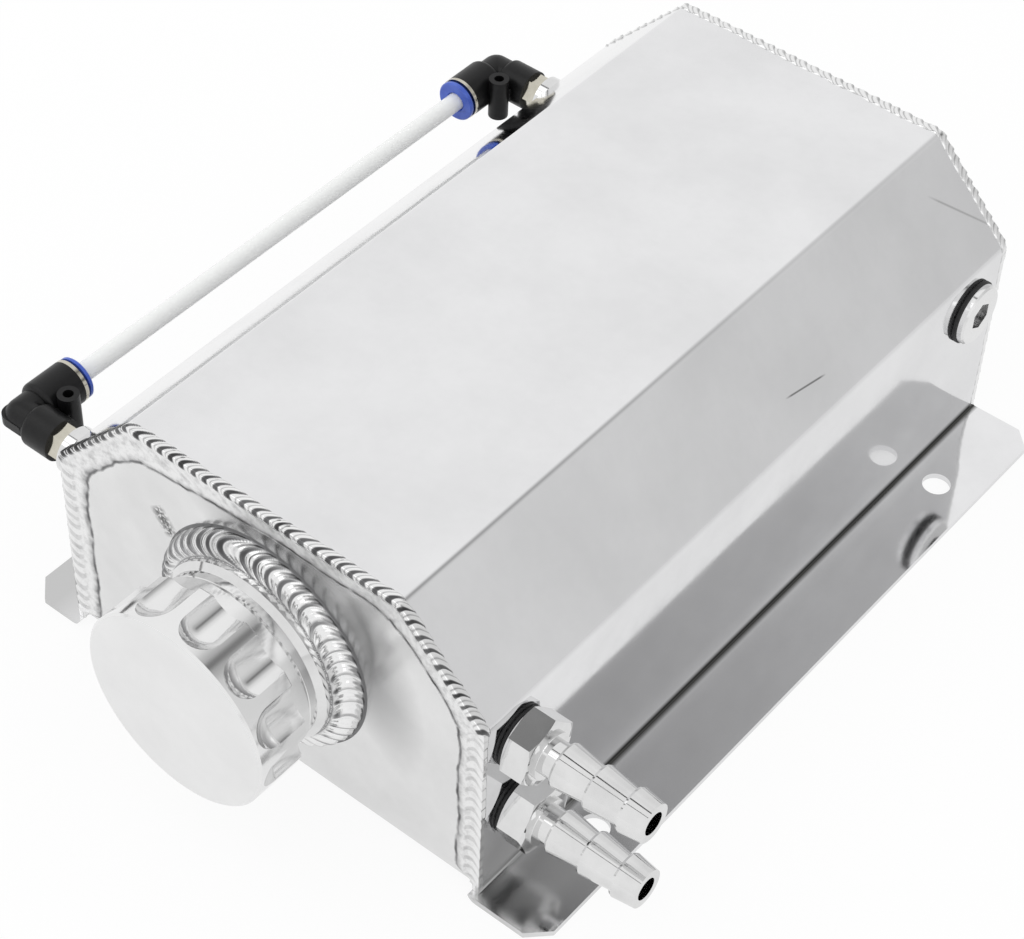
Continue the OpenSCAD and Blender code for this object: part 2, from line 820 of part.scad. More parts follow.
// The plated stud: a tail held in the elbow, a hexagon, and a thread through the boss
module elbow_stud() {
    seat = stud_leg_length + stud_hex_length;
    reach = gauge_reach + sheet_thickness + gauge_boss_depth - 1;
    color(nickel)
    rotate([0, 90, 0])
        difference() {
            union() {
                translate([0, 0, stud_leg_length - stud_tail])
                    cylinder(r = stud_tail_radius, h = stud_tail + 1);
                translate([0, 0, stud_leg_length])
                    rotate(stud_hex_turn)
                        cylinder(d = stud_hex / cos(30), h = stud_hex_length, $fn = 6);
                translate([0, 0, seat - 1])
                    cylinder(r = stud_thread, h = reach - seat + 1);
            }
            translate([0, 0, -1])
                cylinder(r = passage, h = reach + 2);
        }
}

// The boss that carries a stud, from the stud's hexagon through the wall
module gauge_boss() {
    seat = stud_leg_length + stud_hex_length;
    reach = gauge_reach + sheet_thickness + gauge_boss_depth;
    color(plate_grey)
    rotate([0, 90, 0])
        difference() {
            translate([0, 0, seat])
                cylinder(r = gauge_boss_radius, h = gauge_reach - seat);
            translate([0, 0, gauge_reach - 1])
                cylinder(r = gauge_boss_spigot, h = reach - gauge_reach + 1);
            translate([0, 0, seat - 1])
                cylinder(r = stud_thread + fit_clearance, h = reach - seat + 2);
        }
}

// The thin metal ring in the mouth of the tube leg
module mouth_ring() {
    color(nickel)
    on_tube_leg(tube_leg_length)
        difference() {
            cylinder(r = tube_leg_radius, h = mouth_ring_length);
            translate([0, 0, -1])
                cylinder(r = chamber_radius, h = mouth_ring_length + 2);
        }
}

// The blue collar that is pushed in to free the tube
module release_collar() {
    sleeve = chamber_radius - fit_clearance;
    flange = mouth_end + collar_gap;
    color(collar_blue)
    on_tube_leg(0)
        rotate_extrude()
            polygon([[tube_radius + fit_clearance, collar_start], [sleeve, collar_start],
                [sleeve, flange], [collar_radius, flange], [collar_radius, collar_end - 0.4],
                [collar_radius - 0.4, collar_end], [tube_radius + 0.5, collar_end],
                [tube_radius + fit_clearance, collar_end - 0.5]]);
}

// The steel ring whose teeth hold the tube
module grab_ring() {
    color(nickel)
    on_tube_leg(grab_start)
        rotate_extrude()
            polygon([[tube_radius, 0], [tube_radius + 0.4, 0], [chamber_radius, 0.2],
                [chamber_radius, grab_length], [tube_radius + 0.6, grab_length]]);
}

// The rubber ring that seals the tube in the elbow
module tube_seal() {
    middle = (tube_radius + chamber_radius) / 2;
    color(black_rubber)
    on_tube_leg(seal_start)
        rotate_extrude()
            polygon([[tube_radius, 0.3], [middle, 0], [chamber_radius, 0.3],
                [chamber_radius, tube_seal_length - 0.3], [middle, tube_seal_length],
                [tube_radius, tube_seal_length - 0.3]]);
}

// The clear tube, pushed to the stop of each elbow's socket
module sight_tube() {
    from = near_gauge_y + socket_start;
    to = far_gauge_y - socket_start;
    color(clear_tube)
    translate([gauge_x, from, gauge_z])
        rotate([-90, 0, 0])
            difference() {
                cylinder(r = tube_radius, h = to - from);
                translate([0, 0, -1])
                    cylinder(r = passage, h = to - from + 2);
            }
}

module near_elbow() {
    at_near_elbow() elbow_body();
}

module far_elbow() {
    at_far_elbow() elbow_body();
}

module near_stud() {
    at_near_elbow() elbow_stud();
}

module far_stud() {
    at_far_elbow() elbow_stud();
}

module near_gauge_boss() {
    at_near_elbow() gauge_boss();
}

module far_gauge_boss() {
    at_far_elbow() gauge_boss();
}

module near_mouth_ring() {
    at_near_elbow() mouth_ring();
}

module far_mouth_ring() {
    at_far_elbow() mouth_ring();
}

module near_release_collar() {
    at_near_elbow() release_collar();
}

module far_release_collar() {
    at_far_elbow() release_collar();
}

module near_grab_ring() {
    at_near_elbow() grab_ring();
}

module far_grab_ring() {
    at_far_elbow() grab_ring();
}

module near_tube_seal() {
    at_near_elbow() tube_seal();
}

module far_tube_seal() {
    at_far_elbow() tube_seal();
}

shell();
floor_plate();
front_end_plate();
rear_end_plate();
front_seam_weld();
rear_seam_weld();
filler_neck();
filler_neck_weld();
filler_cap();
cap_seal();
upper_hose_fitting();
lower_hose_fitting();
upper_hose_seal();
lower_hose_seal();
upper_hose_boss();
lower_hose_boss();
blanking_plug();
plug_seal();
plug_boss();
near_gauge_boss();
far_gauge_boss();
near_elbow();
far_elbow();
near_stud();
far_stud();
near_mouth_ring();
far_mouth_ring();
near_release_collar();
far_release_collar();
near_grab_ring();
far_grab_ring();
near_tube_seal();
far_tube_seal();
sight_tube();
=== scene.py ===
# Coolant expansion tank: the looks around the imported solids. Lengths are millimetres in the part's
# own frame, which mesh_piece and the materials turn to metres. Lamps and the floor are in metres.
import math

import bmesh
import bpy
import numpy as np
from mathutils import Matrix, Vector


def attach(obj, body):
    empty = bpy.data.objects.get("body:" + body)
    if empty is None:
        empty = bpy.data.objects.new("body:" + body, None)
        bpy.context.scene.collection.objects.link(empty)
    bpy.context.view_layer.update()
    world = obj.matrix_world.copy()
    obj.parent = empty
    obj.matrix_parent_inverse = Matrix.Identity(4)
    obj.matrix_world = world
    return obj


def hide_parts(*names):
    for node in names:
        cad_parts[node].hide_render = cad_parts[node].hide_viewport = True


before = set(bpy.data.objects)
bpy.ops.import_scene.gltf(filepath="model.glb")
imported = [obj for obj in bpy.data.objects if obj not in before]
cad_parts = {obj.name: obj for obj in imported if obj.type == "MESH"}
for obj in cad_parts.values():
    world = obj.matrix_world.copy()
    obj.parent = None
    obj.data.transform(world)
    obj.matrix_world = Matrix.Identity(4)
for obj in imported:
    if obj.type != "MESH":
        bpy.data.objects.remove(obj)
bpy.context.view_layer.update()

MM = 0.001
doubles_reach = 0.5e-6

# Driving sizes, as part.scad has them
tank_width = 153.0
tank_height = 97.5
side_height = 68.0
slope_width = 28.5
sheet_thickness = 2.0
fold_radius = 3.5
floor_lift = 5.0
flange_front = 127.3
flange_rear = 124.7
front_relief = 2.3
end_recess = 0.4
neck_height = 49.0
neck_length = 12.4
neck_radius = 29.2
neck_bore = 22.0
neck_step = 1.8
fit_clearance = 0.08
cap_radius = 31.4
cap_head = 17.8
cap_band_radius = 28.0
cap_band = 4.6
cap_gap = 0.6
cap_spigot = 12.6
spigot_wall = 3.6
cap_face = 5.0
cap_seal_d = 2.6
seal_squeeze = 0.15
flute_count = 12
flute_width = 12.4
flute_depth = 3.3
flute_rim = 2.0
flute_phase = 80.0

# The bevel along the cap's edges
cap_edge = 0.6

# Worked out from the driving sizes
half_width = tank_width / 2
wall_front = front_relief - flange_front
wall_rear = flange_rear
flange_top = sheet_thickness
side_top = flange_top + side_height
slope_foot = half_width - slope_width
roof = flange_top + tank_height
front_face = wall_front + end_recess
neck_axis = flange_top + neck_height
cap_seat = neck_length + cap_gap
band_top = cap_seat + cap_band
cap_top = band_top + cap_head
flute_floor = max(cap_radius - flute_depth, cap_band_radius + 0.1)


# Colours and nodes

def linear(hex_colour):
    """An sRGB hex colour as the linear values that a shader takes."""
    values = [int(hex_colour[i:i + 2], 16) / 255 for i in (1, 3, 5)]
    return [v / 12.92 if v <= 0.04045 else ((v + 0.055) / 1.055) ** 2.4 for v in values] + [1]


def grey(value):
    """A neutral linear grey."""
    return [value, value, value, 1]


def add(tree, kind, settings=None, **links):
    """Adds one node. A setting is a property of the node, the value of an input, or the stops of
    a colour ramp as (position, colour). A link's name is an input's name with _ for a blank, or i
    and the input's number, and its value is the socket that the input reads."""
    node = tree.nodes.new(kind)
    for name, value in (settings or {}).items():
        if name == "stops":
            elements = node.color_ramp.elements
            while len(elements) < len(value):
                elements.new(0.5)
            for element, (position, colour) in zip(elements, value):
                element.position = position
                element.color = colour
        elif isinstance(name, str) and hasattr(node, name) and name not in node.inputs:
            setattr(node, name, value)
        else:
            node.inputs[name].default_value = value
    for name, source in links.items():
        key = int(name[1:]) if name[0] == "i" and name[1:].isdigit() else name.replace("_", " ")
        tree.links.new(source, node.inputs[key])
    return node


def cleared(owner):
    """The emptied node tree of a new material or world."""
    owner.use_nodes = True
    owner.node_tree.nodes.clear()
    return owner.node_tree


def new_material(name, sockets):
    """A material with one shader, whose all-over values are given, as the material, its tree, the
    shader and the place on the piece that patterns read."""
    made = bpy.data.materials.new(name)
    tree = cleared(made)
    shader = add(tree, "ShaderNodeBsdfPrincipled", sockets)
    add(tree, "ShaderNodeOutputMaterial", Surface=shader.outputs["BSDF"])
    return made, tree, shader, add(tree, "ShaderNodeTexCoord").outputs["Object"]


def blotches(tree, place, size_mm, detail=2.0, rough=0.5, stretch=(1, 1, 1)):
    """A cloudy pattern whose blotches are about size_mm wide. Along an axis with a small stretch
    they are longer, as grain and wipe marks are."""
    scaled = add(tree, "ShaderNodeMapping", {"Scale": stretch}, Vector=place)
    cloud = add(tree, "ShaderNodeTexNoise", {"Scale": 1 / (size_mm * MM), "Detail": detail,
                                             "Roughness": rough}, Vector=scaled.outputs["Vector"])
    return cloud.outputs["Fac"]


def mark(tree, place, middle, direction, long_mm, wide_mm):
    """1 on a straight mark and 0 off it, with soft ends: the distance from the mark's middle is
    split into the part along it and the rest, and both fade out at half its length and width."""
    local = add(tree, "ShaderNodeVectorMath", {"operation": "SUBTRACT", 1: [v * MM for v in middle]},
                i0=place).outputs[0]
    run = Vector(direction).normalized()
    along = add(tree, "ShaderNodeVectorMath", {"operation": "DOT_PRODUCT", 1: run}, i0=local)
    beside = add(tree, "ShaderNodeVectorMath", {"operation": "CROSS_PRODUCT", 1: run}, i0=local)
    off = add(tree, "ShaderNodeVectorMath", {"operation": "LENGTH"}, i0=beside.outputs[0])
    reach = add(tree, "ShaderNodeMath", {"operation": "ABSOLUTE"}, i0=along.outputs["Value"])
    long, wide = long_mm * MM, wide_mm * MM
    ends = add(tree, "ShaderNodeMapRange", {"From Min": 0.35 * long, "From Max": 0.5 * long,
                                            "To Min": 1, "To Max": 0}, Value=reach.outputs[0])
    sides = add(tree, "ShaderNodeMapRange", {"From Min": 0.1 * wide, "From Max": 0.5 * wide,
                                             "To Min": 1, "To Max": 0}, Value=off.outputs["Value"])
    return add(tree, "ShaderNodeMath", {"operation": "MULTIPLY"}, i0=ends.outputs[0],
               i1=sides.outputs[0]).outputs[0]


def painted(tree, shader, pattern, tones, wear=()):
    """Gives a shader its colour: sRGB tones along a pattern, and another tone wherever the mask of
    a worn spot is 1."""
    stops = [(position, linear(tone)) for position, tone in tones]
    colour = add(tree, "ShaderNodeValToRGB", {"stops": stops}, Fac=pattern).outputs["Color"]
    for mask, tone in wear:
        colour = add(tree, "ShaderNodeMix", {"data_type": "RGBA", 7: linear(tone)}, i0=mask,
                     i6=colour).outputs[2]
    tree.links.new(colour, shader.inputs["Base Color"])


def dulled(tree, shader, pattern, start, end, bright, dull, least=None):
    """Gives a shader its roughness: bright where a pattern is at start and dull where it is at
    end, and nowhere below the least socket."""
    rough = add(tree, "ShaderNodeMapRange", {"From Min": start, "From Max": end, "To Min": bright,
                                             "To Max": dull}, Value=pattern)
    if least is not None:
        rough = add(tree, "ShaderNodeMath", {"operation": "MAXIMUM"}, i0=rough.outputs[0], i1=least)
    tree.links.new(rough.outputs[0], shader.inputs["Roughness"])


def bumped(tree, shader, layers):
    """Puts bumps on a shader: each layer is a height socket and its depth in millimetres."""
    normal = None
    for height, depth in layers:
        bump = add(tree, "ShaderNodeBump", {"Strength": 1.0, "Distance": depth * MM}, Height=height)
        if normal:
            tree.links.new(normal, bump.inputs["Normal"])
        normal = bump.outputs["Normal"]
    tree.links.new(normal, shader.inputs["Normal"])


# Materials

def polished_sheet():
    """Rolled aluminium sheet, buffed bright: a mirror with slow waves from rolling and folding,
    faint wipe marks and a few dull smears. The right slope has a scratch and a crease, the left
    flange a stain, and the right flange a rubbed corner and, along its foot, a dark line of
    painted shade in the fold."""
    made, tree, shader, place = new_material("polished_aluminium_sheet", {"Metallic": 1})
    smear = blotches(tree, place, 38, 5, 0.62)
    wipe = blotches(tree, place, 1.4, 3, 0.6, (1, 0.06, 1))
    scratch = mark(tree, place, (69.2, 26.7, 77.6), (0.1, 1, -0.11), 18, 0.8)
    crease = mark(tree, place, (65.5, 116.5, 81.5), (0.5, 0.6, -0.5), 34, 1.1)
    stain = mark(tree, place, (-90, -112, flange_top), (0, 1, 0), 60, 44)
    # Painted shade: a dark line along the fold at the foot of the right wall
    foot_shade = mark(tree, place, (half_width + 0.4, 0, flange_top + 0.4), (0, 1, 0), 700, 3.4)
    corner = mark(tree, place, (86, -112, flange_top), (0.2, 1, 0), 60, 40)
    painted(tree, shader, smear, [(0.35, "#ececed"), (0.7, "#e3e3e4")],
            [(scratch, "#858585"), (crease, "#c4c4c4"), (stain, "#c9c9c9"), (foot_shade, "#4a4a48"),
             (corner, "#cfcfcf")])
    rubbed = add(tree, "ShaderNodeMapRange", {"To Max": 0.2}, Value=corner).outputs["Result"]
    dulled(tree, shader, smear, 0.4, 0.78, 0.055, 0.13, rubbed)
    bumped(tree, shader, [(blotches(tree, place, 70, 1), 0.09), (wipe, 0.0015)])
    return made


def end_plate_sheet():
    """Aluminium plate wiped bright after welding: a soft mirror that still shows the neck and
    its weld as dim bands, with pale patches of wiped flux and one speckled scuff. Round the upper
    right of the neck's weld, a grey patch of painted shade stands for the dark reflection there."""
    made, tree, shader, place = new_material("wiped_aluminium_plate", {"Metallic": 1})
    patch = blotches(tree, place, 26, 5, 0.6)
    grain = blotches(tree, place, 0.7, 2, 0.6, (1, 1, 0.2))
    scuff = mark(tree, place, (-36.2, front_face, 70.4), (0.58, 0, -0.81), 11, 7)
    speck = add(tree, "ShaderNodeMapRange", {"From Min": 0.4, "From Max": 0.5},
                Value=blotches(tree, place, 1.3, 3, 0.7))
    speckled = add(tree, "ShaderNodeMath", {"operation": "MULTIPLY"}, i0=scuff, i1=speck.outputs[0])
    # Painted shade: a grey patch round the upper right of the neck's weld, fading with distance from
    # the neck and towards the lower left
    from_neck = add(tree, "ShaderNodeVectorMath",
                    {"operation": "SUBTRACT", 1: (0, front_face * MM, neck_axis * MM)}, i0=place)
    away = add(tree, "ShaderNodeVectorMath", {"operation": "LENGTH"}, i0=from_neck.outputs[0])
    upper_right = add(tree, "ShaderNodeVectorMath", {"operation": "DOT_PRODUCT", 1: (0.62, 0, 0.785)},
                      i0=from_neck.outputs[0])
    shade_starts, shade_ends, turn_starts, turn_ends = 36 * MM, 57 * MM, 12 * MM, 34 * MM
    near_weld = add(tree, "ShaderNodeMapRange", {"From Min": shade_starts, "From Max": shade_ends,
                                                 "To Min": 0.95, "To Max": 0},
                    Value=away.outputs["Value"])
    turned = add(tree, "ShaderNodeMapRange", {"From Min": turn_starts, "From Max": turn_ends},
                 Value=upper_right.outputs["Value"])
    haze = add(tree, "ShaderNodeMath", {"operation": "MULTIPLY"}, i0=near_weld.outputs[0],
               i1=turned.outputs[0])
    # The last tone is the painted shade round the neck's weld
    painted(tree, shader, patch, [(0.3, "#e9e9e9"), (0.7, "#dedede")],
            [(speckled.outputs[0], "#6c6c6c"), (haze.outputs[0], "#7f7f80")])
    dulled(tree, shader, patch, 0.3, 0.7, 0.15, 0.24)
    bumped(tree, shader, [(blotches(tree, place, 45, 1), 0.16), (grain, 0.004)])
    return made


def weld_metal():
    """Welded aluminium: bright frozen ripples, duller and a little grimy where the metal ran out
    thin (attribute "satin"), and darkened by the soot and shade attribute: oxide together with
    painted shade in the creases, and painted shadow with oxide along the edge of the wash."""
    made, tree, shader, place = new_material("bright_aluminium_weld", {"Metallic": 1})
    # This attribute holds oxide together with painted shade in the creases and painted shadow along
    # the wash's edge
    soot = add(tree, "ShaderNodeAttribute", {"attribute_name": "soot"}).outputs["Fac"]
    satin = add(tree, "ShaderNodeAttribute", {"attribute_name": "satin"}).outputs["Fac"]
    grime = add(tree, "ShaderNodeMapRange", {"From Min": 0.45, "From Max": 0.7, "To Max": 0.22},
                Value=blotches(tree, place, 3.2, 4, 0.65))
    thin = add(tree, "ShaderNodeMath", {"operation": "MULTIPLY"}, i0=grime.outputs[0], i1=satin)
    # The darkening adds that attribute's soot and painted shade to the thin grime
    dirt_and_shade = add(tree, "ShaderNodeMath", {"operation": "ADD", "use_clamp": True}, i0=soot,
               i1=thin.outputs[0])
    painted(tree, shader, dirt_and_shade.outputs[0], [(0.0, "#f0f0f0"), (0.5, "#8c8c8d"), (1.0, "#2a2a2b")])
    dulled(tree, shader, satin, 0, 1, 0.1, 0.34)
    bumped(tree, shader, [(blotches(tree, place, 1.1, 4, 0.6), 0.035)])
    return made


def turned_aluminium():
    """Turned and polished aluminium: a clear mirror crossed by the faint rings of the tool."""
    made, tree, shader, place = new_material("turned_polished_aluminium", {"Metallic": 1})
    haze = blotches(tree, place, 9, 4, 0.6)
    painted(tree, shader, haze, [(0.3, "#e6e6e6"), (0.75, "#dadada")])
    dulled(tree, shader, haze, 0.3, 0.7, 0.04, 0.1)
    bumped(tree, shader, [(blotches(tree, place, 0.6, 2, 0.6, (1, 0.05, 0.05)), 0.0025)])
    return made


def billet_aluminium():
    """Billet aluminium of the cap and the plug: faces that look to the front are fine-turned to an
    even satin, and the flutes and edges are milled bright."""
    made, tree, shader, place = new_material("billet_aluminium_cap", {"Metallic": 1})
    haze = blotches(tree, place, 22, 4, 0.6)
    painted(tree, shader, haze, [(0.3, "#efefef"), (0.75, "#e8e8e8")])
    normal = add(tree, "ShaderNodeNewGeometry").outputs["Normal"]
    facing = add(tree, "ShaderNodeVectorMath", {"operation": "DOT_PRODUCT", 1: (0, -1, 0)}, i0=normal)
    dulled(tree, shader, facing.outputs["Value"], 0.95, 0.995, 0.13, 0.32)
    bumped(tree, shader, [(blotches(tree, place, 0.7, 2, 0.6, (1, 0.05, 1)), 0.0015)])
    return made


def boss_metal():
    """Turned aluminium left from the lathe inside the tank: plain grey with dull rings."""
    made, tree, shader, place = new_material(
        "turned_aluminium_boss", {"Metallic": 1, "Base Color": linear("#e2e2e2"), "Roughness": 0.3})
    bumped(tree, shader, [(blotches(tree, place, 0.8, 2, 0.6, (0.05, 1, 1)), 0.01)])
    return made


def nickel_plate():
    """Brass plated with bright nickel: a warm grey mirror."""
    made, tree, shader, place = new_material("bright_nickel_plate", {"Metallic": 1, "Roughness": 0.12})
    painted(tree, shader, blotches(tree, place, 4, 4, 0.6), [(0.3, "#d0ccc0"), (0.75, "#bfbbad")])
    bumped(tree, shader, [(blotches(tree, place, 0.5, 3), 0.004)])
    return made


def black_rubber():
    """Moulded nitrile rubber ring: nearly black, matte, with a faint dusty bloom."""
    made, tree, shader, place = new_material("moulded_nitrile_rubber", {"Roughness": 0.55, "IOR": 1.5})
    painted(tree, shader, blotches(tree, place, 2.5, 5, 0.7), [(0.35, "#121213"), (0.8, "#262627")])
    bumped(tree, shader, [(blotches(tree, place, 0.4, 3), 0.015)])
    return made


def black_plastic():
    """Glass-filled polymer of a push-in elbow: moulded deep black with a fine spark texture and
    a soft, weak sheen along its edges."""
    made, tree, shader, place = new_material(
        "moulded_black_polymer", {"Roughness": 0.4, "IOR": 1.5, "Specular IOR Level": 0.3})
    painted(tree, shader, blotches(tree, place, 1.6, 6, 0.75), [(0.35, "#0a0a0b"), (0.8, "#151516")])
    bumped(tree, shader, [(blotches(tree, place, 0.45, 3), 0.02)])
    return made


def blue_plastic():
    """Moulded acetal of a release collar: strong blue, smooth, a little glossy."""
    made, tree, shader, place = new_material("moulded_blue_acetal", {"Roughness": 0.3, "IOR": 1.48})
    painted(tree, shader, blotches(tree, place, 3, 3), [(0.3, "#3a55b4"), (0.75, "#4a68c8")])
    bumped(tree, shader, [(blotches(tree, place, 0.6, 2), 0.008)])
    return made


def clear_tube():
    """Extruded polyurethane tube, clear but milky, so that it shows nearly white against a white
    ground, with long flow lines."""
    made, tree, shader, place = new_material(
        "extruded_milky_polyurethane", {"Base Color": linear("#fdfefd"), "Transmission Weight": 0.15,
                                        "Roughness": 0.16, "IOR": 1.4})
    bumped(tree, shader, [(blotches(tree, place, 1.5, 2, 0.5, (1, 0.02, 1)), 0.012)])
    return made


def spring_steel():
    """Stamped spring steel of a grab ring: plain bright grey."""
    made, tree, shader, place = new_material(
        "stamped_spring_steel", {"Metallic": 1, "Base Color": linear("#c8c8c8"), "Roughness": 0.3})
    bumped(tree, shader, [(blotches(tree, place, 0.4, 2), 0.005)])
    return made


sheet_metal = polished_sheet()
plate_metal = end_plate_sheet()
weld_finish = weld_metal()
turned_metal = turned_aluminium()
billet_metal = billet_aluminium()
boss_finish = boss_metal()
nickel = nickel_plate()
rubber = black_rubber()
polymer = black_plastic()
acetal = blue_plastic()
tube_plastic = clear_tube()
steel = spring_steel()

finishes = {
    "shell": sheet_metal, "floor_plate": sheet_metal,
    "front_end_plate": plate_metal, "rear_end_plate": plate_metal,
    "front_seam_weld": weld_finish, "rear_seam_weld": weld_finish, "filler_neck_weld": weld_finish,
    "filler_neck": turned_metal, "filler_cap": billet_metal, "blanking_plug": billet_metal,
    "upper_hose_fitting": turned_metal, "lower_hose_fitting": turned_metal,
    "upper_hose_boss": boss_finish, "lower_hose_boss": boss_finish, "plug_boss": boss_finish,
    "near_gauge_boss": turned_metal, "far_gauge_boss": turned_metal,
    "cap_seal": rubber, "upper_hose_seal": rubber, "lower_hose_seal": rubber,
    "plug_seal": rubber, "near_tube_seal": rubber, "far_tube_seal": rubber,
    "near_elbow": polymer, "far_elbow": polymer,
    "near_stud": nickel, "far_stud": nickel,
    "near_mouth_ring": nickel, "far_mouth_ring": nickel,
    "near_release_collar": acetal, "far_release_collar": acetal,
    "near_grab_ring": steel, "far_grab_ring": steel,
    "sight_tube": tube_plastic,
}


def split_edges(piece, degrees):
    """Keeps edges sharper than an angle crisp on a smooth-shaded piece."""
    split = piece.modifiers.new("sharp edges", "EDGE_SPLIT")
    split.split_angle = math.radians(degrees)


def dress(node_name, finish):
    """Gives a CAD node its finish, and joins and smooths its triangles for the render only."""
    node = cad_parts[node_name]
    node.data.materials.clear()
    node.data.materials.append(finish)
    node.data.polygons.foreach_set("use_smooth", np.ones(len(node.data.polygons), bool))
    weld = node.modifiers.new("join", "WELD")
    weld.merge_threshold = doubles_reach
    split_edges(node, 28)


for node_name, finish in finishes.items():
    dress(node_name, finish)


# Surfaces

def mesh_piece(name, points, finish, body, replaced, ring_of_rows=False, attributes=None):
    """A grid of points (rows, columns, 3) in millimetres as a closed smooth skin. The last column
    falls on the first, or both are poles. The rows close into a ring, or the first and the last
    row each get an end face. Doubles are merged and all faces turned outwards."""
    rows, columns = points.shape[:2]
    index = np.arange(rows * columns).reshape(rows, columns)
    if ring_of_rows:
        index = np.concatenate([index, index[:1]], axis=0)
    quads = np.stack([index[:-1, :-1], index[:-1, 1:], index[1:, 1:], index[1:, :-1]], axis=-1)
    faces = quads.reshape(-1, 4).tolist()
    if not ring_of_rows:
        faces += [index[0, :-1].tolist(), index[-1, :-1].tolist()]
    mesh = bpy.data.meshes.new(name)
    mesh.from_pydata((points.reshape(-1, 3) * MM).tolist(), [], faces)
    for label, values in (attributes or {}).items():
        layer = mesh.attributes.new(label, "FLOAT", "POINT")
        layer.data.foreach_set("value", np.ascontiguousarray(values, np.float32).ravel())
    skin = bmesh.new()
    skin.from_mesh(mesh)
    bmesh.ops.remove_doubles(skin, verts=skin.verts, dist=doubles_reach)
    bmesh.ops.recalc_face_normals(skin, faces=skin.faces)
    skin.to_mesh(mesh)
    skin.free()
    mesh.polygons.foreach_set("use_smooth", np.ones(len(mesh.polygons), bool))
    mesh.materials.append(finish)
    mesh.update()
    piece = bpy.data.objects.new(name, mesh)
    bpy.context.scene.collection.objects.link(piece)
    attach(piece, body)
    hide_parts(*replaced)
    return piece


def smooth_step(x, low, high):
    """0 below low, 1 above high, and a soft S between."""
    t = np.clip((x - low) / (high - low), 0, 1)
    return t * t * (3 - 2 * t)


def hump(x, middle, width):
    """A bell that is 1 at its middle and falls to about a third one width away."""
    return np.exp(-((x - middle) / width) ** 2)


def wander(x, pitch, seed):
    """A smooth random line along x: values drawn every pitch, joined by cosine steps."""
    draws = np.random.default_rng(seed).uniform(-1, 1, int(np.max(x) / pitch) + 4)
    at = x / pitch
    low = np.floor(at).astype(int)
    t = (1 - np.cos(np.pi * (at - low))) / 2
    return draws[low] * (1 - t) + draws[low + 1] * t


def ripple(phase):
    """One frozen ripple per unit of phase, as its height and the share of it that has passed:
    it climbs slowly and drops off steeply."""
    part = phase - np.floor(phase)
    climb = 0.8
    height = np.where(part < climb, 0.5 - 0.5 * np.cos(np.pi * part / climb),
                      0.5 + 0.5 * np.cos(np.pi * (part - climb) / (1 - climb)))
    return height, part


# The sheet's section: its corners, its straight sides and the turns at its folds
CORNERS = np.array([[half_width, flange_top], [half_width, side_top], [slope_foot, roof],
                    [-slope_foot, roof], [-half_width, side_top], [-half_width, flange_top]])
RUNS = np.diff(CORNERS, axis=0)
SIDES = np.linalg.norm(RUNS, axis=1)
ALONG = RUNS / SIDES[:, None]
INWARD = np.stack([-ALONG[:, 1], ALONG[:, 0]], axis=1)
TURN = np.arccos((ALONG[:-1] * ALONG[1:]).sum(1))
ARCS = fold_radius * TURN
TANGENTS = fold_radius * np.tan(TURN / 2)
FLATS = SIDES - np.concatenate([TANGENTS, [0]]) - np.concatenate([[0], TANGENTS])
ARCH_LENGTH = FLATS.sum() + ARCS.sum()
FOLDS = np.cumsum(np.stack([FLATS[:-1], ARCS], axis=1).ravel())[::2] + ARCS / 2


def arch(length, inset):
    """The section of the sheet as (x, z) at a length along its outer face and an inset below that
    face. Each straight side runs between the tangent points of the folds, and each fold is an arc
    whose radius shrinks with the inset, so the inset lines never cross."""
    least_radius = 0.5
    radius = np.maximum(fold_radius - inset, least_radius)[..., None]
    deep = inset[..., None]
    place = np.zeros(np.broadcast(length, inset).shape + (2,))
    start = 0.0
    for k in range(len(SIDES)):
        first = CORNERS[k] + INWARD[k] * deep
        last = CORNERS[k + 1] + INWARD[k] * deep
        if k > 0:
            first = first + ALONG[k] * (deep + radius) * np.tan(TURN[k - 1] / 2)
        if k < len(TURN):
            last = last - ALONG[k] * (deep + radius) * np.tan(TURN[k] / 2)
        t = np.clip((length - start) / FLATS[k], 0, 1)[..., None]
        place = np.where((length >= start)[..., None], first + (last - first) * t, place)
        start += FLATS[k]
        if k < len(TURN):
            angle = (np.clip((length - start) / ARCS[k], 0, 1) * TURN[k])[..., None]
            spoke = -INWARD[k] * np.cos(angle) + ALONG[k] * np.sin(angle)
            bend = last + INWARD[k] * radius + spoke * radius
            place = np.where((length >= start)[..., None], bend, place)
            start += ARCS[k]
    return place[..., 0], place[..., 1]


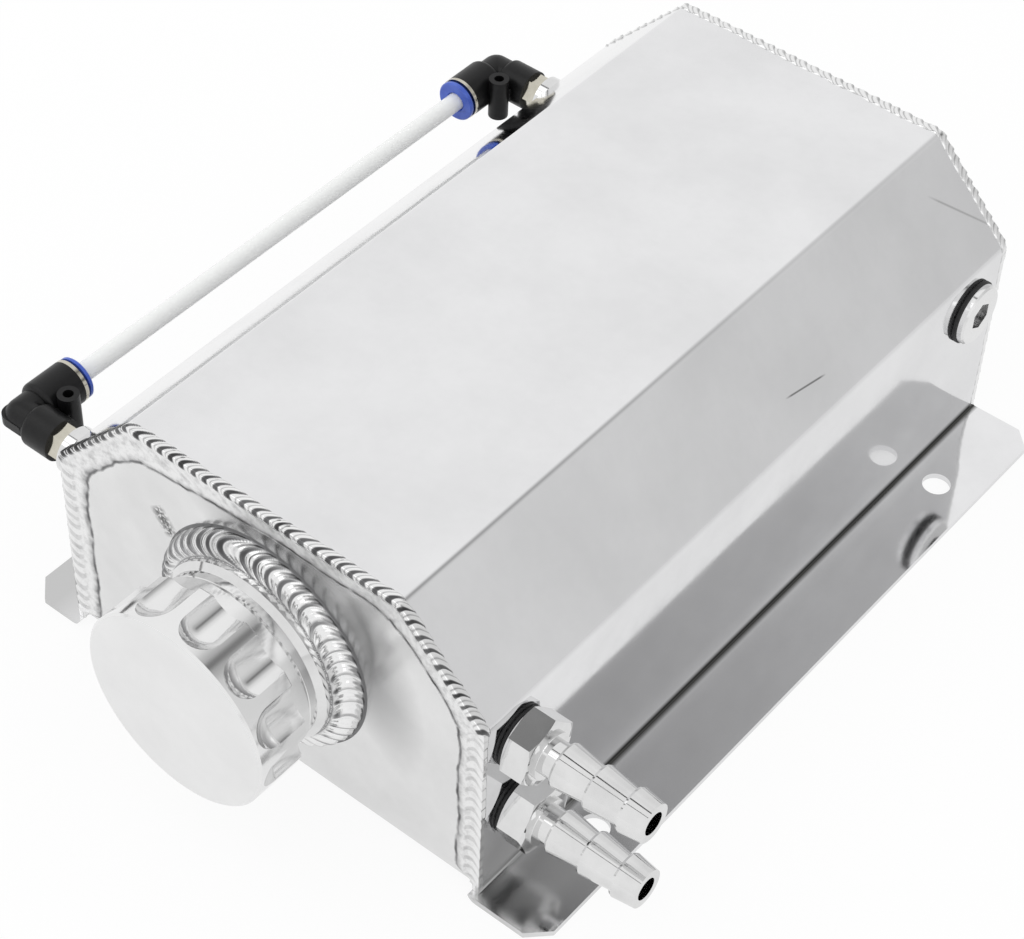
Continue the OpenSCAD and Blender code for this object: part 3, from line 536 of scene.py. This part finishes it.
def seam_weld(name, end, along, replaced, seed, dark):
    """The bead along one end, closed round its section. Across, it runs from the sheet's outer
    face, round the corner and in over the end plate, and ends in an uneven lip and a thin dark
    line of painted shadow and oxide. The crown carries one ripple per ripple_pitch. A ripple's
    steep side faces right and curls back along the sheet, and painted shade in it makes it show as
    a dark comma. On the walls the ripples lie on the end face as shallow half-moons. The height
    of a ripple is its share of the crown, which rises from the sheet and fades out behind the
    corner, and the wash is a slow swelling between the crown and the lip. The end is the wall's
    end along Y, and along is -1 or 1, outwards. Dark scales the painted shade in the ripples."""
    ripple_pitch, station_pitch = 4.25, 0.19
    top_height, wall_height = 0.5, 0.16
    film, wash_height, most_proud = 0.05, 0.4, 0.47
    sunk, root, plate_reach = 0.28, 0.35, 12

    # Where the section is: on a wall, how far to the left, and beside the end plate
    stations = int(ARCH_LENGTH / station_pitch)
    length = np.linspace(0, ARCH_LENGTH, stations)[:, None]
    outer_x, outer_z = arch(length, np.zeros((stations, 1)))
    wall = 1 - smooth_step(outer_z, side_top - 6, side_top + 2)
    left = smooth_step(-outer_x, 0, 60)
    plate = smooth_step(outer_z, flange_top + 1, flange_top + floor_lift + 1)

    # The bead's reach back along the sheet, and the wash's reach in over the plate
    back = 3.3 - 0.8 * wall + 0.3 * wander(length, 4.3, seed + 2)
    uneven = 0.45 * wander(length, 9, seed) + 0.3 * wander(length, 2.6, seed + 1)
    top_wash = 6.6 + 3.2 * smooth_step(-outer_x, -10, 46) - 1.5 * smooth_step(-outer_x, 50, 60)
    rounded = hump(length, FOLDS, 5.5) @ np.array([1.6, 1.4, 1.4, 1.6])[:, None]
    wash = (top_wash * (1 - wall) + (7.8 + 1.5 * left) * wall + uneven + rounded) * plate
    run = back + np.maximum(wash, 2.45)
    at = np.concatenate([np.linspace(0, 1, 44)[None, :] * run, run + np.array([[0.2, 0.5, 0.8, 1.1]])],
                        axis=1)
    inset = np.clip(at - back, 0, 2.2 + plate_reach * plate)
    behind = np.maximum(back - at, 0)

    # The ripples
    phase = -length / ripple_pitch + 0.2 * wander(length, 12, seed + 3) \
        + 0.1 * wander(length, 4.1, seed + 7)
    curl_top = np.where(at < back, 0.8 * ((back + 0.2 - at) / back) ** 2, 0.4 * (inset / 3) ** 2)
    curl_wall = 0.5 * ((inset - 2.9) / 2.8) ** 2
    height, part = ripple(phase - curl_top * (1 - wall) - curl_wall * wall)
    crown = smooth_step(at, 0, 0.8) * (1 - smooth_step(at, back + 0.7, back + 2.2)) \
        * (0.86 + 0.14 * wander(length, ripple_pitch, seed + 8))
    half_moon = smooth_step(inset, 0.1, 1.2) * (1 - smooth_step(inset, 4.9, 5.9)) * plate
    lift = crown * (0.07 + height * (top_height * (1 - wall) + wall_height * wall)) \
        + half_moon * height * (0.02 + 0.08 * left + 0.08 * wall)

    # The skin: ripples stand off the sheet before the corner and off the plate behind it
    tilt = smooth_step(at, back - 0.6, back + 0.6) * np.pi / 2
    lip = smooth_step(at, run - 0.9, run)
    thick = film + (wash_height - film) * smooth_step(at, back + 0.8, back + 2.6) * (1 - lip) \
        * (1 + 0.12 * wander(length, 5.2, seed + 5))
    fall = -end_recess * smooth_step(at, back + 0.9, back + 2.6)
    p_inset = inset - lift * np.cos(tilt) + sunk * (1 - smooth_step(at, 0, 0.7))
    p_along = -behind + fall + lift * np.sin(tilt) + thick * smooth_step(at, back, back + 0.9)
    p_along = np.minimum(p_along, most_proud)
    p_along[:, -1] = -end_recess - sunk
    x, z = arch(np.broadcast_to(length, p_inset.shape), p_inset)
    points = np.stack([x, end + along * p_along, z], axis=-1)
    root_x, root_z = arch(length, np.full((stations, 1), root))
    under = np.stack([root_x, np.full_like(root_x, end - along * root), root_z], axis=-1)
    points = np.concatenate([points, under, points[:, :1]], axis=1)

    # Soot and painted shade: painted shade in the ripples' steep sides, strongest on the top and
    # scaled by dark, painted shadow with some oxide along the wash's edge, painted shade at the
    # bead's toe, and a fine dark line up each ripple
    begins = 0.5 + 0.3 * np.clip((back + 0.8 - at) / back, 0, 1)
    valley = smooth_step(part, begins, begins + 0.14) * (1 - smooth_step(part, 0.94, 1)) * plate
    edge = (hump(at, run + 0.2, 0.45) * (0.5 + 0.3 * wander(length, 3.1, seed + 6))
            + hump(at, run - 0.6, 0.9) * (0.2 + 0.12 * wander(length, 1.7, seed + 9))) * plate
    toe = 0.25 * hump(at, 0.3, 0.3)
    trace = 0.4 * hump(part, 0.32, 0.06) * crown * (1 - wall) * plate
    soot = np.maximum.reduce([trace, valley * crown * (0.95 * (1 - wall) + 0.08 * wall) * dark,
                              valley * half_moon * (0.05 + 0.1 * wall), edge, toe])
    satin = smooth_step(at, back + 0.6, back + 3.2) * (1 - 0.3 * wall)
    soot, satin = [np.concatenate([np.clip(a, 0, 1), np.zeros((stations, 1)), a[:, :1]], axis=1)
                   for a in (soot, satin)]
    return mesh_piece(name, points, weld_finish, "tank", replaced,
                      attributes={"soot": soot, "satin": satin})


def neck_weld():
    """The bead round the neck: a fillet whose section bulges between the neck and the plate, with
    crescents like fish scales, whose backs point anticlockwise, and three fine lines on each. The
    creases between them are darkened with painted shade, most of all at the upper left, pits follow
    the inner edge at the right, and a dark line of painted shadow and oxide edges the bead on the
    plate and on the neck."""
    around, across = 1300, 30
    crescent_pitch, bead_width, bead_height, bead_middle = 4.6, 7.0, 6.1, 3.6
    crease_depth, skirt, sunk, neck_sunk = 0.95, 0.8, 0.25, 0.3
    angle = np.linspace(0, 2 * np.pi, around, endpoint=False)[:, None]
    t = np.linspace(0, 1, across)[None, :]
    off_middle = 2 * t - 1

    # The crescents
    count = round(2 * np.pi * (neck_radius + bead_middle) / crescent_pitch)
    phase = -angle / (2 * np.pi) * count + 0.35 * np.sin(3 * angle + 1) + 0.2 * np.sin(7 * angle) \
        + 0.12 * np.sin(13 * angle + 2)
    scale_line = phase - (0.95 + 0.15 * np.sin(5 * angle)) * off_middle ** 2
    height, part = ripple(scale_line)
    fine_height, _ = ripple(3 * scale_line + 0.4 * np.sin(9 * angle))
    height = 0.8 * height + 0.2 * fine_height

    # The section: how far each point is out from the neck and up from the plate
    taper = np.sin(np.pi * t) ** 0.6
    width = bead_width + 0.25 * np.sin(2 * angle + 0.6) + 0.15 * np.sin(5 * angle)
    tall = bead_height + 0.2 * np.sin(3 * angle + 2)
    slant = t * np.pi / 2
    bulge = 0.94 + 0.1 * np.sin(2 * slant)
    drop = crease_depth * (1 - height) * taper
    reach = np.maximum((width * bulge - drop) * np.sin(slant), 0.02)
    rise = np.maximum((tall * bulge - drop) * np.cos(slant), 0.04)
    out = np.concatenate([reach, reach[:, -1:] + skirt, reach[:, -1:] + skirt,
                          np.full((around, 2), -neck_sunk), reach[:, :1]], axis=1)
    up = np.concatenate([rise, rise[:, -1:], np.full((around, 2), -sunk), rise[:, :1],
                         rise[:, :1]], axis=1)
    r = neck_radius + out
    points = np.stack([r * np.cos(angle), front_face - up, neck_axis + r * np.sin(angle)], axis=-1)

    # Soot and painted shade, strongest at the upper left
    valley = smooth_step(part, 0.62, 0.8) * (1 - smooth_step(part, 0.93, 1)) \
        * (1 - off_middle ** 2) ** 0.5
    upper_left = hump(angle, 2.0, 0.55)
    right = hump(np.minimum(angle, 2 * np.pi - angle), 0, 0.75)
    pits = right * hump(t, 0.2, 0.1) * smooth_step(part, 0.5, 0.7)
    lines = 0.22 * upper_left * (0.5 + 0.5 * np.sin(2 * np.pi * 3 * scale_line))
    soot = np.maximum.reduce([valley * (0.45 + 0.15 * np.sin(3 * angle + 4) + 0.5 * upper_left),
                              0.85 * pits, lines,
                              0.75 * hump(t, 1, 0.06) + 0 * angle, 0.7 * hump(t, 0, 0.06) + 0 * angle])
    beyond = np.broadcast_to([[0.7, 0.3, 0, 0, 0]], (around, 5))
    soot = np.concatenate([soot, beyond], axis=1)
    return mesh_piece("neck_weld_bead", points, weld_finish, "tank", ["filler_neck_weld"],
                      ring_of_rows=True, attributes={"soot": soot, "satin": np.full(soot.shape, 0.1)})


def fluted_cap():
    """The cap as one profile turned round the neck's axis, from the middle of its face over the
    head, the band, the seal's groove and the spigot to the middle of the hollow's roof. In each
    flute the radius is cut back to a round bar with a ball end: the radius where a ray from the
    cap's axis first meets the bar, D cos a - sqrt(R^2 - D^2 sin^2 a), with the bar's radius R
    shrinking as a ball does past its end. The grid's lines follow the brinks, where that radius
    is the head's."""
    spigot = neck_bore - fit_clearance
    hollow = spigot - spigot_wall
    spigot_foot = cap_seat - cap_spigot
    hollow_roof = cap_top - cap_face
    seal_middle = (neck_bore + neck_radius - neck_step) / 2
    seal_side = cap_seal_d / 2 + fit_clearance
    seal_top = neck_length + cap_seal_d - 2 * seal_squeeze

    # The bar that cuts a flute: its radius, and how far its middle is from the cap's axis
    half = flute_width / 2
    sag = math.sqrt(cap_radius ** 2 - half ** 2) - flute_floor
    bar = (sag ** 2 + half ** 2) / (2 * sag)
    axis = flute_floor + bar
    ball = cap_top - flute_rim - half
    flute_end = ball + math.sqrt(bar ** 2 - (axis - cap_radius) ** 2)

    # The profile as (radius, height): the face, the head's side, and all the rest
    sweep = np.linspace(0, np.pi / 2, 30)
    head = np.concatenate([[cap_top - cap_edge, (cap_top - cap_edge + flute_end) / 2],
                           ball + (flute_end - ball) * np.cos(sweep),
                           np.linspace(ball, band_top + cap_edge, 6)[1:]])
    face = np.array([[0, cap_top], [12, cap_top], [24, cap_top], [cap_radius - cap_edge, cap_top]])
    side = np.stack([np.full_like(head, cap_radius), head], axis=1)
    rest = np.array([[cap_radius - cap_edge, band_top], [cap_band_radius, band_top],
                     [cap_band_radius, cap_seat], [seal_middle + seal_side, cap_seat],
                     [seal_middle + seal_side, seal_top], [seal_middle - seal_side, seal_top],
                     [seal_middle - seal_side, cap_seat], [spigot, cap_seat],
                     [spigot, spigot_foot + cap_edge], [spigot - cap_edge, spigot_foot],
                     [hollow, spigot_foot], [hollow, hollow_roof], [0, hollow_roof]])
    profile = np.concatenate([face, side, rest])

    # The brink: half the angle that a flute takes up at each point of the profile
    r, h = np.maximum(profile[:, 0], flute_floor), profile[:, 1]
    cutter = np.sqrt(np.maximum(bar ** 2 - np.maximum(h - ball, 0) ** 2, 0))
    brink = np.arccos(np.clip((axis ** 2 + r ** 2 - cutter ** 2) / (2 * axis * r), -1, 1))
    brink[h >= flute_end - 1e-6] = 0
    first_plain = len(face) + len(side) + 1
    brink[first_plain:] = brink[first_plain - 1]

    in_flute, on_rib = 48, 22
    pitch = 2 * np.pi / flute_count
    across = np.linspace(-1, 1, in_flute + 1)[:, None] * brink
    between = brink + np.linspace(0, 1, on_rib + 1)[1:-1, None] * (pitch - 2 * brink)
    bearing = np.concatenate([across, between])
    met = axis * np.cos(bearing) - np.sqrt(np.maximum(cutter ** 2 - (axis * np.sin(bearing)) ** 2, 0))
    cut = np.zeros(bearing.shape, bool)
    cut[1:in_flute, len(face):first_plain] = True
    radius = np.where(cut & (brink > 0), np.minimum(met, profile[:, 0]), profile[:, 0])
    turns = math.radians(flute_phase) + pitch * np.arange(flute_count)
    angle = (turns[:, None, None] + bearing[None]).reshape(-1, len(profile))
    radius = np.tile(radius, (flute_count, 1))
    points = np.stack([radius * np.cos(angle), np.broadcast_to(front_face - h, angle.shape),
                       neck_axis + radius * np.sin(angle)], axis=-1)
    piece = mesh_piece("fluted_cap", points, billet_metal, "cap", ["filler_cap"],
                       ring_of_rows=True)
    split_edges(piece, 22)
    return piece


seam_weld("front_seam_bead", wall_front, -1, ["front_seam_weld"], 21, 1.0)
seam_weld("rear_seam_bead", wall_rear, 1, ["rear_seam_weld"], 57, 0.3)
neck_weld()
fluted_cap()


# Floor, light and camera

def graded(tree, place, axis, stops, low=0.0, high=1.0):
    """A grey that changes along an axis. Each stop is a distance along it between low and high,
    and the grey there."""
    along = add(tree, "ShaderNodeVectorMath", {"operation": "DOT_PRODUCT", 1: axis}, i0=place)
    share = add(tree, "ShaderNodeMapRange", {"From Min": low, "From Max": high},
                Value=along.outputs["Value"])
    spread = [((at - low) / (high - low), grey(value)) for at, value in stops]
    return add(tree, "ShaderNodeValToRGB", {"stops": spread}, Fac=share.outputs[0]).outputs["Color"]


def by_ray(tree, light, mirrored, seen):
    """One shader out of three: what lights the part, what its mirrors show, and what the eye
    sees, straight or through the clear tube."""
    rays = add(tree, "ShaderNodeLightPath")
    eye = add(tree, "ShaderNodeMath", {"operation": "MAXIMUM"}, i0=rays.outputs["Is Camera Ray"],
              i1=rays.outputs["Is Transmission Ray"])
    first = add(tree, "ShaderNodeMixShader", i0=rays.outputs["Is Glossy Ray"], i1=light, i2=mirrored)
    last = add(tree, "ShaderNodeMixShader", i0=eye.outputs[0], i1=first.outputs[0], i2=seen)
    return last.outputs[0]


def pale_floor():
    """A white floor that shows white to the eye and in reflections, and keeps a faint shadow.
    For reflections it is greyer to the right and behind, as a studio's open side is."""
    reach, below = 4.0, 0.0002
    made = bpy.data.materials.new("white_studio_floor")
    tree = cleared(made)
    place = add(tree, "ShaderNodeTexCoord").outputs["Object"]
    white = add(tree, "ShaderNodeBsdfDiffuse", {"Color": linear("#f6f6f6")}).outputs[0]
    glow = add(tree, "ShaderNodeEmission", {"Color": grey(1.0), "Strength": 1.0}).outputs[0]
    shade = graded(tree, place, (1.0, 0.35, 0), [(0.02, 0.96), (0.35, 0.74)], 0.02, 0.35)
    mirror_glow = add(tree, "ShaderNodeEmission", Color=shade).outputs[0]
    seen = add(tree, "ShaderNodeMixShader", {0: 0.9}, i1=white, i2=glow).outputs[0]
    mirrored = add(tree, "ShaderNodeMixShader", {0: 0.75}, i1=white, i2=mirror_glow).outputs[0]
    add(tree, "ShaderNodeOutputMaterial", Surface=by_ray(tree, white, mirrored, seen))
    mesh = bpy.data.meshes.new("studio_floor")
    mesh.from_pydata([(-reach, -reach, 0), (reach, -reach, 0), (reach, reach, 0), (-reach, reach, 0)],
                     [], [(0, 1, 2, 3)])
    mesh.materials.append(made)
    floor = bpy.data.objects.new("studio_floor", mesh)
    floor.location.z = -below
    bpy.context.scene.collection.objects.link(floor)


def studio_world():
    """Plain soft light from all round. To a mirror the sky is white, with a grey open side to the
    right and behind, a dark gap in the middle of it, and to the left two narrow dark joints
    between the panels overhead."""
    world = bpy.data.worlds.new("studio")
    bpy.context.scene.world = world
    tree = cleared(world)
    direction = add(tree, "ShaderNodeTexCoord").outputs["Generated"]
    side = graded(tree, direction, (0.549, 0.798, 0.249),
                  [(0.6, 0.95), (0.85, 0.75), (0.93, 0.74), (0.99, 0.66)])
    gap = graded(tree, direction, (0.311, 0.43, 0.847),
                 [(0.883, 1.0), (0.9613, 0.85), (0.9848, 0.62), (0.9962, 0.5), (0.9982, 0.4),
                  (0.999, 0.06)])
    joints = graded(tree, direction, (0, 1, 0),
                    [(-0.42, 1.0), (-0.412, 0.1), (-0.38, 0.1), (-0.372, 1.0),
                     (-0.004, 1.0), (0.012, 0.08), (0.1, 0.08), (0.116, 1.0)], -0.5, 0.3)
    closed = graded(tree, direction, (-1, 0, 0), [(0.0, 1.0), (0.05, 0.0), (0.2, 0.0), (0.4, 0.3)])
    joints = add(tree, "ShaderNodeVectorMath", {"operation": "MAXIMUM"}, i0=joints, i1=closed)
    panels = add(tree, "ShaderNodeVectorMath", {"operation": "MULTIPLY"}, i0=side, i1=gap)
    sky = add(tree, "ShaderNodeVectorMath", {"operation": "MULTIPLY"}, i0=panels.outputs[0],
              i1=joints.outputs[0])
    white = add(tree, "ShaderNodeBackground", {"Color": grey(1.0), "Strength": 1.0}).outputs[0]
    mirrored = add(tree, "ShaderNodeBackground", Color=sky.outputs[0]).outputs[0]
    add(tree, "ShaderNodeOutputWorld", Surface=by_ray(tree, white, mirrored, white))


def soft_lamp(name, place, size, power):
    """A square area lamp that faces the middle of the part."""
    target = (0, 0, 0.04)
    lamp = bpy.data.lights.new(name, "AREA")
    lamp.size = size
    lamp.energy = power
    holder = bpy.data.objects.new(name, lamp)
    holder.location = place
    holder.rotation_euler = (Vector(target) - Vector(place)).to_track_quat("-Z", "Y").to_euler()
    bpy.context.scene.collection.objects.link(holder)


def photo_camera():
    """The camera that a fit to the photograph's edges and holes gives: azimuth, elevation and
    roll in degrees, its offset from the middle of the front plate's foot, and its distance."""
    azimuth, elevation, roll = math.radians(37.4378), math.radians(45.9746), math.radians(2.48821)
    side_mm, up_mm, away_mm = 68.2049, 78.6422, 763.534
    focal_px, width_px, sensor_mm = 2693.44, 1024, 36
    back = Vector((math.sin(azimuth) * math.cos(elevation), -math.cos(azimuth) * math.cos(elevation),
                   math.sin(elevation)))
    right = Vector((0, 0, 1)).cross(back).normalized()
    up = back.cross(right)
    right_rolled = math.cos(roll) * right + math.sin(roll) * up
    up_rolled = -math.sin(roll) * right + math.cos(roll) * up
    place = back * away_mm + right_rolled * side_mm + up_rolled * up_mm \
        + Vector((0, front_face, flange_top))
    lens = bpy.data.cameras.new("photo_camera")
    lens.sensor_width = sensor_mm
    lens.lens = focal_px / width_px * sensor_mm
    lens.clip_start = 0.01
    camera = bpy.data.objects.new("photo_camera", lens)
    turn = Matrix((right_rolled, up_rolled, back)).transposed()
    camera.matrix_world = Matrix.Translation(place * MM) @ turn.to_4x4()
    bpy.context.scene.collection.objects.link(camera)
    bpy.context.scene.camera = camera


pale_floor()
studio_world()
soft_lamp("key", (-0.7, -0.5, 1.1), 0.9, 1.5)
soft_lamp("fill", (0.9, -0.9, 0.9), 0.7, 0.7)
photo_camera()
bpy.context.scene.view_settings.view_transform = "Standard"
